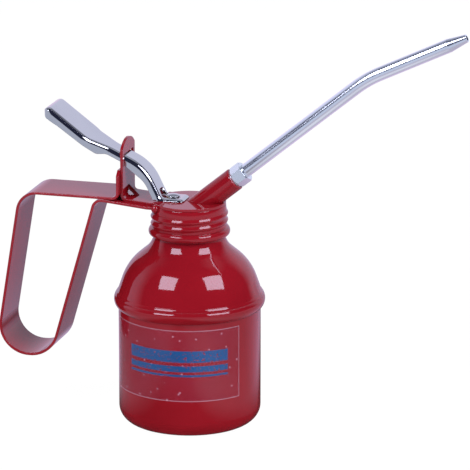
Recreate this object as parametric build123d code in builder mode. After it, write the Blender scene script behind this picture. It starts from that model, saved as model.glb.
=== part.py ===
from build123d import *
import os
from math import atan, cos, degrees, radians, sin, tan

# Thumb-pump oil can: pressed cup and shoulder, screw cap with strap handle, lever pump and spout.
# Millimetres, +Z up.  The origin is the centre of the base, +X points the way the spout points.
os.makedirs("parts", exist_ok=True)

# ------------------------------------------------------------------ can
sheet = 0.7  # tinplate of the cup and the shoulder
body_radius = 36.7
base_corner_radius = 8.5
base_panel_radius = 22.0  # raised middle of the base
base_panel_rise = 1.2
base_panel_step = 2.0  # width of the slope round the raised middle
base_panel_bend = 1.5
seam_radius = 39.0  # widest circle of the rolled seam
seam_z = 65.3
seam_half_height = 4.1
seam_lip_drop = 3.87  # lower lip of the rolled seam, below its middle
seam_lip_tuck = 1.8  # how far the lip turns back in
cup_flange_drop = 3.1  # the cup's wall turns out to the seam this far below its middle
cup_flange_sink = 0.4
cup_flange_gap = 0.12
cup_flange_bend = 1.0
shoulder_foot_radius = 37.1
shoulder_knee_z = 83.7
shoulder_foot_angle = 19.0  # from the vertical
shoulder_top_angle = 50.0
shoulder_knee_radius = 27.5  # bend between the two slopes
neck_fillet_radius = 12.0
neck_radius = 18.2
neck_top_z = 113.4

# ------------------------------------------------------------------ screw cap
cap_sheet = 0.8
cap_clearance = 0.4  # round the neck
cap_skirt = 14.0  # from the neck's rim down to the hem
cap_rim_height = 1.6  # plain band under the top plate
thread_thinning = 0.2  # of the sheet in the rolled valleys
hem_lip = 0.2
gasket_thickness = 1.6
gasket_width = 1.7
thread_pitch = 3.7
thread_ridge = 0.7  # height of a rolled thread ridge
cap_radius = 18.9  # plain rim under the top plate
hem_radius = 21.0
hem_height = 4.2
cap_bore_radius = neck_radius + cap_clearance
cap_valley_radius = cap_bore_radius + cap_sheet - thread_thinning
cap_inside_z = neck_top_z + gasket_thickness
cap_top_z = cap_inside_z + cap_sheet
cap_bottom_z = neck_top_z - cap_skirt

# ------------------------------------------------------------------ top plate and lever post
plate_thickness = 1.4
plate_top_z = cap_top_z + plate_thickness
foot_slope = tan(radians(5.5))  # the foot and the strap climb a little away from the cap
foot_bend_radius = 6.0
post_width = 21.2
post_front_x = -32.25  # face of the post towards the spout
post_mid_x = post_front_x - plate_thickness / 2
post_back_x = post_front_x - plate_thickness
post_bend_radius = 2.6  # middle of the sheet
post_top_z = 148.6
post_arch_radius = 14.5
post_arch_half_width = 8.6
post_rib_reach = 5.2  # pressed stiffening rib in the bend
post_rib_width = 6.5
post_rib_height = 3.64
post_rib_sink = 0.5

# ------------------------------------------------------------------ lever
pivot_x = post_mid_x
pivot_z = 135.7  # centre of the round sill that the lever rocks on
pivot_clearance = 0.06
sill_radius = plate_thickness / 2
window_width = 16.2
window_top_z = 141.3
window_corner_radius = 0.8
lever_sheet = 1.1
lever_gap = 0.35  # front plate above the top plate at rest
lever_width = 14.8  # through the window and at the front
pad_width = 23.8  # thumb pad
fold_radius = 2.5  # outside of the folded edges
lever_plate_z = plate_top_z + lever_gap + lever_sheet  # top of the front plate
lever_front_x = -1.1
lever_wall_x = -13.24  # foot of the curved arm

pad_slope = 0.746
pad_start_x = -70.0  # the pad's end is rolled down from here
pad_roll_radius = 3.0
pad_roll_angle = 212.0
pad_end_x = pad_start_x - 1.6 * pad_roll_radius
lever_knee = (-50.3, 148.5)
lever_brow = (-21.2, 134.9)
lever_knee_radius = 10.0
lever_brow_radius = 24.0
lever_foot_radius = 2.5
lever_corner_radius = 3.0
pad_shoulder_x = -53.2  # the pad narrows from here to the neck
pad_neck_x = -41.0
pad_blend_radius = 8.0
pad_corner_radius = 5.0
# Lower edge of the lever's flanges: the toe, the bend under the arm, the hollow and the pad's heel.
flange_toe_x = -17.3
flange_toe_radius = 1.5
flange_bend = (-21.7, 127.0)
flange_bend_radius = 14.0
flange_hollow_z = 140.7
flange_hollow_front_x = -42.4
flange_hollow_rear_x = -46.9
flange_hollow_radius = 4.0
flange_heel = (-66.65, 154.6)
notch_rise = 0.9  # the flange starts again behind the sill, above its middle

# ------------------------------------------------------------------ handle strap
strap_sheet = 1.4
strap_width = 28.0
strap_knee_x = -46.5
strap_lean = tan(radians(16.1))  # inner run
strap_outer_lean = tan(radians(9.3))  # outer run
strap_outer_x = -86.9
strap_bottom_z = 32.0
strap_knee_radius = 5.0
strap_corner_radius = 11.0
strap_loop_radius = 15.0
strap_end_radius = 3.0
strap_end_top_z = 133.4
strap_end_chamfer = 3.0
strap_edge_radius = 0.3
strap_lap = 0.35  # how far the rounded knee lets the top run down

# ------------------------------------------------------------------ pump
pump_x = -8.6
rod_radius = 2.0
rod_clearance = 0.05
head_radius = 3.75
head_seat_radius = 5.0  # sphere under the rod's head
head_seat_rise = 3.55  # its centre above the lever's front plate
head_crown = 1.5
slot_radius = 2.6
slot_mouth_radius = 4.05
slot_sink_depth = 0.9
slot_length = 3.4
slot_headroom = 4.0  # above the front plate
barrel_radius = 7.0
barrel_bore_radius = 6.3
barrel_bottom_z = 60.0
pump_head_flange = 3.4
pump_flange_radius = 7.2
pump_head_thread = 7.6
spigot_top_z = plate_top_z - 0.1
port_z = 101.0  # delivery port in the barrel
gland_slot_width = 1.4
gland_slot_depth = 1.0
head_rim_rise = 0.55  # above the lever's front plate
rod_end_length = 1.0  # threaded end below the nut
spigot_radius = 4.5
packing_radius = 4.2
packing_height = 2.5
gland_height = 2.5
piston_rest_gap = 4.26  # the rod's foot above the ball's stop pin at rest
piston_height = 2.0
piston_clearance = 0.3
cup_height = 3.5
cup_wall = 1.0
cup_clearance = 0.03
piston_nut_across = 7.0
piston_nut_height = 3.0
spring_wire = 0.9
spring_radius = 4.0
spring_turns = 8
foot_seat_height = 6.0
foot_boss_height = 6.0
foot_boss_radius = 4.5
foot_bore_radius = 1.6
foot_ball_radius = 2.4
foot_ball_lift = 1.5
valve_gap = 0.03
foot_seat_depth = 1.6
foot_flange_height = 2.0
stop_pin_radius = 0.75
stop_pin_gap = 0.1  # over the risen ball
stop_pin_inset = 0.2  # each end of the pin inside the barrel's outside
suction_top_z = 57.0
piston_hole_radius = 0.7
piston_hole_circle = 4.2
strainer_holes = 8
strainer_hole_radius = 0.9
strainer_hole_rise = 2.6
suction_radius = 3.0
suction_bore_radius = 2.0
suction_bottom_z = 9.0
strainer_radius = 4.5
strainer_height = 8.0
strainer_wall = 0.6

# ------------------------------------------------------------------ delivery and spout
delivery_x = 6.2
delivery_radius = 2.25
delivery_bore_radius = 1.5
delivery_bend_radius = 4.5
spout_foot_x = 8.4  # where the spout's line meets the top plate
spout_angle = 39.4  # above the horizontal
spout_straight = 109.5  # from the top plate to the bend
spout_tip_angle = 25.3
spout_tip_length = 56.4
spout_bend_radius = 60.0
spout_radius = 3.5
spout_bore_radius = 2.8
tip_taper_length = 10.0
tip_radius = 2.0
holder_radius = 6.0
holder_bore_radius = 4.8
holder_length = 20.6
ferrule_length = 1.6
nut_across = 10.0
nut_length = 6.4
nut_gap = 0.7
nut_chamfer = 1.3
nut_chamfer_angle = 35.0
delivery_seat_start = 6.3
delivery_seat_length = 2.0
delivery_seat_bore = 1.8
delivery_seat_depth = 1.0
holder_mouth_radius = 0.5
ferrule_start = 16.8
delivery_ball_radius = 3.2
delivery_ball_lift = 1.2
delivery_ball_gap = 0.18  # left between the risen ball and the end of the spout
bead_radius = 2.2
bead_x = -14.2
bead_y = 13.4
bead_z = 115.0
bead_core_gap = 0.1

XZ = Plane.XZ
spout_x_dir = Vector(cos(radians(spout_angle)), 0, sin(radians(spout_angle)))
spout_foot = Vector(spout_foot_x, 0, plate_top_z)


def finish(part, name):
    """Label one finished sub-part and write its STEP file."""
    part.label = name
    export_step(part, f"parts/{name}.step")


def spout_plane(distance):
    """Plane square to the spout's straight run, at a distance up it from the top plate."""
    return Plane(origin=spout_foot + spout_x_dir * distance, x_dir=(0, 1, 0), z_dir=spout_x_dir)


def pump_plane(height):
    """Level plane on the pump's centre line."""
    return Plane(origin=(pump_x, 0, height))


def ball_height(ball_radius, hole_radius):
    """Height of a ball's centre above the small end of a 45 degree seat."""
    return (ball_radius + valve_gap) * 2**0.5 - hole_radius


foot_ball_z = (
    barrel_bottom_z + foot_seat_height - foot_seat_depth + ball_height(foot_ball_radius, foot_bore_radius)
)
stop_pin_z = foot_ball_z + foot_ball_radius + foot_ball_lift + stop_pin_gap + stop_pin_radius
rod_foot_z = stop_pin_z + stop_pin_radius + piston_rest_gap
rod_bottom_z = rod_foot_z + rod_end_length
piston_z = rod_bottom_z + piston_nut_height  # underside at rest

# ================================================================== can
lip_z = seam_z - seam_lip_drop
shoulder_foot_z = seam_z + seam_half_height
shoulder_knee = (
    shoulder_foot_radius - (shoulder_knee_z - shoulder_foot_z) * tan(radians(shoulder_foot_angle)),
    shoulder_knee_z,
)
neck_corner_z = shoulder_knee_z + (shoulder_knee[0] - neck_radius) / tan(radians(shoulder_top_angle))

# Drawn cup: raised base panel, round bottom corner, and a flange that the seam rolls over.
with BuildPart() as body_cup:
    with BuildSketch(XZ):
        with BuildLine():
            FilletPolyline(
                (0, base_panel_rise),
                (base_panel_radius, base_panel_rise),
                (base_panel_radius + base_panel_step, 0),
                (body_radius, 0),
                (body_radius, seam_z - cup_flange_drop),
                (seam_radius - sheet - cup_flange_gap, seam_z - cup_flange_sink),
                radius=(base_panel_bend, base_panel_bend, base_corner_radius, cup_flange_bend),
            )
            offset(amount=sheet, side=Side.LEFT)
        make_face()
    revolve(axis=Axis.Z)
finish(body_cup.part, "body_cup")

# Shoulder: rolled seam, domed sides and the neck, in one drawn shell.
with BuildPart() as shoulder:
    with BuildSketch(XZ):
        with BuildLine():
            ThreePointArc(
                (seam_radius - seam_lip_tuck, lip_z),
                (seam_radius, seam_z),
                (shoulder_foot_radius, shoulder_foot_z),
            )
            FilletPolyline(
                (shoulder_foot_radius, shoulder_foot_z),
                shoulder_knee,
                (neck_radius, neck_corner_z),
                (neck_radius, neck_top_z),
                radius=(shoulder_knee_radius, neck_fillet_radius),
            )
            offset(amount=sheet, side=Side.LEFT)
        make_face()
    revolve(axis=Axis.Z)
finish(shoulder.part, "shoulder")

# Ring seal between the neck's rim and the cap.
with BuildPart() as cap_gasket:
    with BuildSketch(Plane.XY.offset(neck_top_z)):
        Circle(neck_radius)
        Circle(neck_radius - gasket_width, mode=Mode.SUBTRACT)
    extrude(amount=gasket_thickness)
finish(cap_gasket.part, "cap_gasket")

# ================================================================== cap, top plate and handle
hem_top_z = cap_bottom_z + hem_height
first_valley_z = hem_top_z + 2 * thread_pitch
hem_mouth_radius = cap_valley_radius - hem_lip

# Screw cap: rolled hem, two ridges of the rolled thread and a flat top.
with BuildPart() as screw_cap:
    with BuildSketch(XZ):
        with BuildLine():
            ThreePointArc(
                (hem_mouth_radius, cap_bottom_z),
                (hem_radius, cap_bottom_z + hem_height / 2),
                (cap_valley_radius, hem_top_z),
            )
            for ridge in range(2):
                low_z = hem_top_z + ridge * thread_pitch
                ThreePointArc(
                    (cap_valley_radius, low_z),
                    (cap_valley_radius + thread_ridge, low_z + thread_pitch / 2),
                    (cap_valley_radius, low_z + thread_pitch),
                )
            Polyline(
                (cap_valley_radius, first_valley_z),
                (cap_radius, cap_top_z - cap_rim_height),
                (cap_radius, cap_top_z),
                (0, cap_top_z),
                (0, cap_inside_z),
                (cap_bore_radius, cap_inside_z),
                (cap_bore_radius, cap_bottom_z),
                (hem_mouth_radius, cap_bottom_z),
            )
        make_face()
    revolve(axis=Axis.Z)
    with BuildSketch(Plane.XY.offset(cap_inside_z)):
        with Locations((pump_x, 0)):
            Circle(spigot_radius)
        with Locations((delivery_x, 0)):
            Circle(delivery_radius)
    extrude(amount=cap_sheet, mode=Mode.SUBTRACT)
finish(screw_cap.part, "screw_cap")

foot_mid_z = cap_top_z + plate_thickness / 2
foot_end_z = foot_mid_z + (-cap_radius - post_mid_x) * foot_slope
arch_centre_z = post_top_z - post_arch_radius

# Stiffening rib pressed into the bend between foot and post: a ridge that runs down at 45 degrees.
rib_corner = Vector(post_front_x, 0, foot_end_z + plate_thickness / 2)
rib_slant = Plane(origin=rib_corner, x_dir=(0, 1, 0), z_dir=(1, 0, -1))
with BuildPart() as rib:
    with BuildSketch(rib_slant.offset(-2 * post_rib_reach)):
        Polygon(
            (-post_rib_width / 2, 0),
            (post_rib_width / 2, 0),
            (0, post_rib_height),
            align=None,
        )
    extrude(amount=4 * post_rib_reach)
    with BuildSketch(XZ):
        with Locations((rib_corner.X, rib_corner.Z - post_rib_sink)):
            Rectangle(3 * post_rib_reach, 3 * post_rib_reach, align=(Align.MIN, Align.MIN))
    extrude(amount=post_rib_width, both=True, mode=Mode.INTERSECT)

# Top plate: disc on the cap, foot, and the lever post bent up from it, all one stamping.
with BuildPart() as top_plate:
    with BuildSketch(XZ):
        with BuildLine():
            FilletPolyline(
                (-cap_radius / 2, foot_mid_z),
                (-cap_radius, foot_mid_z),
                (post_mid_x, foot_end_z),
                (post_mid_x, post_top_z),
                radius=(foot_bend_radius, post_bend_radius),
            )
        trace(line_width=plate_thickness)
    extrude(amount=post_width / 2, both=True)
    with BuildSketch(Plane.XY.offset(cap_top_z)):
        Circle(cap_radius)
    extrude(amount=plate_thickness)
    # Arched top of the post.
    with BuildSketch(Plane.YZ.offset(post_back_x)):
        with Locations((0, post_top_z)):
            Rectangle(2 * post_width, 2 * post_arch_radius)
        with Locations((0, arch_centre_z)):
            Circle(post_arch_radius, mode=Mode.SUBTRACT)
            Rectangle(2 * post_width, 2 * post_arch_half_width, mode=Mode.SUBTRACT)
    extrude(amount=plate_thickness, mode=Mode.SUBTRACT)
    # Window that the lever passes through; its lower edge is the sill.
    with BuildSketch(Plane.YZ.offset(post_back_x)) as window:
        with Locations((0, (pivot_z + window_top_z) / 2)):
            Rectangle(window_width, window_top_z - pivot_z)
        fillet(window.vertices().group_by(Axis.Y)[-1], window_corner_radius)
    extrude(amount=plate_thickness, mode=Mode.SUBTRACT)
    # Rounded sill that carries the lever.
    with BuildSketch(XZ):
        with Locations((pivot_x, pivot_z)):
            Circle(sill_radius)
    extrude(amount=window_width / 2, both=True)
    add(rib.part)
    with BuildSketch(Plane.XY.offset(cap_top_z)):
        with Locations((pump_x, 0)):
            Circle(spigot_radius)
        with Locations((delivery_x, 0)):
            Circle(delivery_radius)
    extrude(amount=plate_thickness, mode=Mode.SUBTRACT)
finish(top_plate.part, "top_plate")

# Handle strap: one strip, from the cap's rim round the finger loop and up the back of the post.
def inner_run_x(height):
    """Middle of the strap's inner run at a height."""
    return strap_knee_x - (strap_knee_z - height) * strap_lean


def outer_run_x(height):
    """Middle of the strap's outer run at a height."""
    return strap_outer_x - (strap_top_z - height) * strap_outer_lean


strap_mid_z = cap_top_z - strap_sheet / 2
strap_climb_x = -cap_radius - strap_sheet * foot_slope / 2
strap_knee_z = strap_mid_z + (strap_climb_x - strap_knee_x) * foot_slope
strap_top_z = strap_knee_z + strap_sheet - strap_lap
strap_end_x = post_back_x - strap_sheet / 2
with BuildPart() as handle_strap:
    with BuildSketch(XZ):
        with BuildLine():
            FilletPolyline(
                (-cap_radius / 2, strap_mid_z),
                (strap_climb_x, strap_mid_z),
                (strap_knee_x, strap_knee_z),
                (inner_run_x(strap_bottom_z), strap_bottom_z),
                (outer_run_x(strap_bottom_z), strap_bottom_z),
                (strap_outer_x, strap_top_z),
                (strap_end_x, strap_top_z),
                (strap_end_x, strap_end_top_z),
                radius=(
                    foot_bend_radius + strap_sheet,
                    strap_knee_radius,
                    strap_loop_radius,
                    strap_loop_radius,
                    strap_corner_radius,
                    strap_end_radius,
                ),
            )
        trace(line_width=strap_sheet)
    extrude(amount=strap_width / 2, both=True)
    # The end beside the post has clipped corners, and the start is hollowed to the cap's rim.
    end_corners = handle_strap.edges().filter_by(Axis.X).group_by(Axis.Z)[-1]
    chamfer(end_corners, strap_end_chamfer)
    sides = handle_strap.faces().sort_by(Axis.Y)
    fillet(sides[0].edges() + sides[-1].edges(), strap_edge_radius)
    with BuildSketch(Plane.XY.offset(cap_bottom_z)):
        Circle(cap_radius)
    extrude(amount=plate_top_z - cap_bottom_z, mode=Mode.SUBTRACT)
finish(handle_strap.part, "handle_strap")

# Two beads of braze where the strap meets the cap.
with BuildPart() as braze_beads:
    with Locations(*[(bead_x, side * bead_y, bead_z) for side in (-1, 1)]):
        Sphere(bead_radius)
    add(screw_cap.part, mode=Mode.SUBTRACT)
    add(top_plate.part, mode=Mode.SUBTRACT)
    add(handle_strap.part, mode=Mode.SUBTRACT)
    with BuildSketch(Plane.XY.offset(cap_bottom_z)):
        Circle(cap_radius - bead_core_gap)
    extrude(amount=cap_top_z - cap_bottom_z - cap_sheet / 2, mode=Mode.SUBTRACT)
finish(braze_beads.part, "braze_beads")

# ================================================================== lever
notch_radius = sill_radius + pivot_clearance
notch_front_x = pivot_x + notch_radius
lever_underside_z = lever_plate_z - lever_sheet
notch_low_z = pivot_z - notch_radius


def lever_top(turn):
    """Top of the lever seen from the side, its rolled end carried round through an angle."""
    with BuildLine(mode=Mode.PRIVATE) as line:
        flats = FilletPolyline(
            (pad_start_x, lever_knee[1] + (lever_knee[0] - pad_start_x) * pad_slope),
            lever_knee,
            lever_brow,
            (lever_wall_x, lever_plate_z),
            (lever_front_x, lever_plate_z),
            radius=(lever_knee_radius, lever_brow_radius, lever_foot_radius),
        )
        JernArc(start=flats @ 0, tangent=(-1, pad_slope), radius=pad_roll_radius, arc_size=turn)
    return line.line.wires()[0]


def lever_plan(inset, rear_x):
    """Outline of the lever seen from above, ending at rear_x and drawn in all round."""
    with BuildSketch(mode=Mode.PRIVATE) as plan:
        with BuildLine():
            FilletPolyline(
                (lever_front_x, 0),
                (lever_front_x, lever_width / 2),
                (pad_neck_x, lever_width / 2),
                (pad_shoulder_x, pad_width / 2),
                (rear_x, pad_width / 2),
                (rear_x, 0),
                radius=(lever_corner_radius, pad_blend_radius, pad_blend_radius, pad_corner_radius),
            )
            Line((rear_x, 0), (lever_front_x, 0))
        make_face()
        mirror(about=Plane.XZ)
        if inset:
            offset(amount=-inset)
    return plan.sketch


def lever_form(inset):
    """The lever's top and sides, drawn in all round and running on down, with rounded folds."""
    top = lever_top(degrees(atan(pad_slope)) + 90)
    if inset:
        top = offset(top, amount=inset, side=Side.RIGHT, closed=False).wires()[0]
    with BuildPart(mode=Mode.PRIVATE) as form:
        with BuildSketch(XZ):
            with BuildLine():
                add(top)
                ends = sorted((top @ 0, top @ 1), key=lambda end: end.X)
                Polyline(ends[0], (ends[0].X, cap_top_z), (ends[1].X, cap_top_z), ends[1])
            make_face()
        extrude(amount=pad_width, both=True)
        with BuildSketch(Plane.XY.offset(cap_top_z)):
            add(lever_plan(inset, 2 * pad_start_x))
        extrude(amount=2 * (post_top_z - cap_top_z), mode=Mode.INTERSECT)
        tops = form.faces().filter_by(lambda face: face.normal_at().Z > 0.3)
        folds = [edge for edge in tops.edges() if is_fold(edge)]
        fillet(folds, fold_radius - inset)
        with BuildSketch(Plane.XY.offset(cap_top_z)):
            add(lever_plan(inset, pad_end_x))
        extrude(amount=2 * (post_top_z - cap_top_z), mode=Mode.INTERSECT)
    return form.part


def is_fold(edge):
    """Whether an edge runs along the side of the lever, where the sheet is folded."""
    return abs(edge.tangent_at(0.5).Y) < 0.9 and abs(edge.center().Y) > 1


def rod_slot(radius):
    """Outline of the rod's slot, which runs back from the pump's centre line."""
    with BuildSketch(mode=Mode.PRIVATE) as slot:
        with Locations((pump_x - slot_length / 2, 0)):
            SlotCenterToCenter(slot_length, 2 * radius)
    return slot.sketch


# Lever: pressed channel with a thumb pad, rocking on the sill and lifting the rod by its slot.
with BuildPart() as lever:
    add(lever_form(0))
    add(lever_form(lever_sheet), mode=Mode.SUBTRACT)
    # Lower edge of the flanges and the rolled end.
    with BuildSketch(XZ):
        with BuildLine():
            top = lever_top(pad_roll_angle)
            add(top)
            heel, front = sorted((top @ 0, top @ 1), key=lambda end: end.X)
            Line(front, (lever_front_x, lever_underside_z))
            FilletPolyline(
                (lever_front_x, lever_underside_z),
                (flange_toe_x, lever_underside_z),
                flange_bend,
                (notch_front_x, notch_low_z),
                radius=(flange_toe_radius, flange_bend_radius),
            )
            Polyline(
                (notch_front_x, notch_low_z),
                (notch_front_x, pivot_z),
                (pivot_x, pivot_z),
                (post_back_x, pivot_z + notch_rise),
            )
            FilletPolyline(
                (post_back_x, pivot_z + notch_rise),
                (flange_hollow_front_x, flange_hollow_z),
                (flange_hollow_rear_x, flange_hollow_z),
                flange_heel,
                radius=flange_hollow_radius,
            )
            Line(flange_heel, heel)
        make_face()
        with Locations((pivot_x, pivot_z)):
            Circle(notch_radius, mode=Mode.SUBTRACT)
    extrude(amount=pad_width, both=True, mode=Mode.INTERSECT)
    # Slot under the rod's head: a dished mouth, a narrow slot, and room for the head at the arm's foot.
    with BuildSketch(Plane.XY.offset(lever_plate_z)):
        add(rod_slot(slot_mouth_radius))
    with BuildSketch(Plane.XY.offset(lever_plate_z - slot_sink_depth)):
        add(rod_slot(slot_radius))
    loft(mode=Mode.SUBTRACT)
    with BuildSketch(Plane.XY.offset(lever_plate_z)):
        add(rod_slot(slot_mouth_radius))
    extrude(amount=slot_headroom, mode=Mode.SUBTRACT)
    with BuildSketch(Plane.XY.offset(lever_plate_z)):
        add(rod_slot(slot_radius))
    extrude(amount=-2 * lever_sheet, mode=Mode.SUBTRACT)
finish(lever.part, "lever")

# ================================================================== pump
def turned(points, height):
    """Body of revolution on the pump's centre line from (radius, height) points."""
    with BuildPart(mode=Mode.PRIVATE) as body:
        with BuildSketch(Plane(origin=(pump_x, 0, height), x_dir=XZ.x_dir, z_dir=XZ.z_dir)):
            with BuildLine():
                Polyline(*points, close=True)
            make_face()
        revolve(axis=Axis((pump_x, 0, 0), (0, 0, 1)))
    return body.part


rod_bore_radius = rod_radius + rod_clearance
rod_neck_rise = head_seat_rise - (head_seat_radius**2 - rod_radius**2) ** 0.5
flange_low_z = cap_inside_z - pump_head_flange
pump_head_z = flange_low_z - pump_head_thread
barrel_length = flange_low_z - barrel_bottom_z
cup_z = piston_z + piston_height

# Pump head: screwed into the barrel from above, its spigot holding cap and top plate together.
pump_head_profile = [
    (rod_bore_radius, spigot_top_z),
    (spigot_radius, spigot_top_z),
    (spigot_radius, cap_inside_z),
    (pump_flange_radius, cap_inside_z),
    (pump_flange_radius, flange_low_z),
    (barrel_bore_radius, flange_low_z),
    (barrel_bore_radius, pump_head_z),
    (packing_radius, pump_head_z),
    (packing_radius, pump_head_z + gland_height + packing_height),
    (rod_bore_radius, pump_head_z + gland_height + packing_height),
]
pump_head = turned(pump_head_profile, 0)
finish(pump_head, "pump_head")

# Packing round the rod and the gland screw that squeezes it.
with BuildPart() as rod_packing:
    with BuildSketch(pump_plane(pump_head_z + gland_height)):
        Circle(packing_radius)
        Circle(rod_bore_radius, mode=Mode.SUBTRACT)
    extrude(amount=packing_height)
finish(rod_packing.part, "rod_packing")

with BuildPart() as gland_screw:
    with BuildSketch(pump_plane(pump_head_z)):
        Circle(packing_radius)
        Circle(rod_bore_radius, mode=Mode.SUBTRACT)
    extrude(amount=gland_height)
    with BuildSketch(pump_plane(pump_head_z)):
        Rectangle(gland_slot_width, 2 * packing_radius)
    extrude(amount=gland_slot_depth, mode=Mode.SUBTRACT)
finish(gland_screw.part, "gland_screw")

# Barrel, with the port that feeds the delivery tube and holes for the ball stop.
with BuildPart() as pump_barrel:
    with BuildSketch(pump_plane(barrel_bottom_z)):
        Circle(barrel_radius)
        Circle(barrel_bore_radius, mode=Mode.SUBTRACT)
    extrude(amount=barrel_length)
    with BuildSketch(Plane.YZ.offset(pump_x)):
        with Locations((0, port_z)):
            Circle(delivery_bore_radius)
    extrude(amount=barrel_radius, mode=Mode.SUBTRACT)
    with BuildSketch(XZ):
        with Locations((pump_x, stop_pin_z)):
            Circle(stop_pin_radius)
    extrude(amount=barrel_radius, both=True, mode=Mode.SUBTRACT)
finish(pump_barrel.part, "pump_barrel")

with BuildPart() as ball_stop_pin:
    with BuildSketch(XZ):
        with Locations((pump_x, stop_pin_z)):
            Circle(stop_pin_radius)
    extrude(amount=barrel_radius - stop_pin_inset, both=True)
finish(ball_stop_pin.part, "ball_stop_pin")

# Rod with its domed head, which hangs in the lever's slot.
crown_rise = head_crown - head_rim_rise
crown_radius = (head_radius**2 + crown_rise**2) / (2 * crown_rise)
with BuildPart() as pump_rod:
    with BuildSketch(pump_plane(lever_plate_z + rod_neck_rise)):
        Circle(head_radius)
    extrude(amount=head_crown - rod_neck_rise)
    with Locations((pump_x, 0, lever_plate_z + head_seat_rise)):
        Sphere(head_seat_radius, mode=Mode.INTERSECT)
    with Locations((pump_x, 0, lever_plate_z + head_crown - crown_radius)):
        Sphere(crown_radius, mode=Mode.INTERSECT)
    with BuildSketch(pump_plane(rod_foot_z)):
        Circle(rod_radius)
    extrude(amount=lever_plate_z + rod_neck_rise - rod_foot_z)
finish(pump_rod.part, "pump_rod")

# Piston plate, leather cup and the nut under them.
with BuildPart() as piston:
    with BuildSketch(pump_plane(piston_z)):
        Circle(barrel_bore_radius - piston_clearance)
        Circle(rod_radius, mode=Mode.SUBTRACT)
        with PolarLocations(piston_hole_circle, 4):
            Circle(piston_hole_radius, mode=Mode.SUBTRACT)
    extrude(amount=piston_height)
finish(piston.part, "piston")

cup_radius = barrel_bore_radius - cup_clearance
piston_cup_profile = [
    (rod_radius, 0),
    (cup_radius - 0.6, 0),
    (cup_radius, 0.6),
    (cup_radius, cup_height),
    (cup_radius - cup_wall, cup_height),
    (cup_radius - cup_wall, cup_wall),
    (rod_radius, cup_wall),
]
piston_cup = turned(piston_cup_profile, cup_z)
finish(piston_cup, "piston_cup")

with BuildPart() as piston_nut:
    with BuildSketch(pump_plane(rod_bottom_z)):
        RegularPolygon(piston_nut_across / 2, 6, major_radius=False)
        Circle(rod_radius, mode=Mode.SUBTRACT)
    extrude(amount=piston_nut_height)
finish(piston_nut.part, "piston_nut")

# Return spring round the rod, between the cup and the gland.
spring_low_z = cup_z + cup_wall + spring_wire / 2
spring_length = pump_head_z - spring_low_z - spring_wire / 2
with BuildPart() as return_spring:
    with BuildLine(pump_plane(spring_low_z)) as coil:
        Helix(pitch=spring_length / spring_turns, height=spring_length, radius=spring_radius)
    with BuildSketch(Plane(origin=coil.line @ 0, z_dir=coil.line % 0)):
        Circle(spring_wire / 2)
    sweep(is_frenet=True)
finish(return_spring.part, "return_spring")

# Foot valve: seat plug with a boss for the suction tube, and its ball.
seat_z = barrel_bottom_z + foot_seat_height - foot_seat_depth  # small end of the 45 degree seat
boss_low_z = barrel_bottom_z - foot_flange_height - foot_boss_height
foot_valve_profile = [
    (foot_bore_radius, suction_top_z),
    (foot_bore_radius, seat_z),
    (foot_bore_radius + foot_seat_depth, seat_z + foot_seat_depth),
    (barrel_bore_radius, seat_z + foot_seat_depth),
    (barrel_bore_radius, barrel_bottom_z),
    (barrel_radius, barrel_bottom_z),
    (barrel_radius, barrel_bottom_z - foot_flange_height),
    (foot_boss_radius, barrel_bottom_z - foot_flange_height),
    (foot_boss_radius, boss_low_z),
    (suction_radius, boss_low_z),
    (suction_radius, suction_top_z),
]
foot_valve_seat = turned(foot_valve_profile, 0)
finish(foot_valve_seat, "foot_valve_seat")

with BuildPart() as foot_valve_ball:
    with Locations((pump_x, 0, foot_ball_z)):
        Sphere(foot_ball_radius)
finish(foot_valve_ball.part, "foot_valve_ball")

# Suction tube and the strainer on its foot.
with BuildPart() as suction_tube:
    with BuildSketch(pump_plane(suction_bottom_z)):
        Circle(suction_radius)
        Circle(suction_bore_radius, mode=Mode.SUBTRACT)
    extrude(amount=suction_top_z - suction_bottom_z)
finish(suction_tube.part, "suction_tube")

strainer_z = suction_bottom_z - strainer_height / 2
with BuildPart() as strainer:
    with BuildSketch(pump_plane(strainer_z)):
        Circle(strainer_radius)
    extrude(amount=strainer_height)
    with BuildSketch(pump_plane(strainer_z + strainer_wall)):
        Circle(strainer_radius - strainer_wall)
    extrude(amount=strainer_height - 2 * strainer_wall, mode=Mode.SUBTRACT)
    with BuildSketch(pump_plane(strainer_z + strainer_height)):
        Circle(suction_radius)
    extrude(amount=-strainer_height / 2, mode=Mode.SUBTRACT)
    for turn in range(strainer_holes):
        hole_plane = Plane(
            origin=(pump_x, 0, strainer_z + strainer_hole_rise),
            z_dir=Vector(1, 0, 0).rotate(Axis.Z, turn * 360 / strainer_holes),
        )
        with BuildSketch(hole_plane):
            Circle(strainer_hole_radius)
        extrude(amount=strainer_radius, mode=Mode.SUBTRACT)
finish(strainer.part, "strainer")

# ================================================================== delivery and spout
# Delivery tube: from the barrel's port across and up through cap and top plate.
with BuildPart() as delivery_tube:
    with BuildLine(XZ) as delivery_line:
        FilletPolyline(
            (pump_x, port_z), (delivery_x, port_z), (delivery_x, plate_top_z), radius=delivery_bend_radius
        )
    with BuildSketch(Plane.YZ.offset(pump_x)):
        with Locations((0, port_z)):
            Circle(delivery_radius)
            Circle(delivery_bore_radius, mode=Mode.SUBTRACT)
    sweep()
    with BuildSketch(pump_plane(barrel_bottom_z)):
        Circle(barrel_radius)
    extrude(amount=barrel_length, mode=Mode.SUBTRACT)
finish(delivery_tube.part, "delivery_tube")

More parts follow.
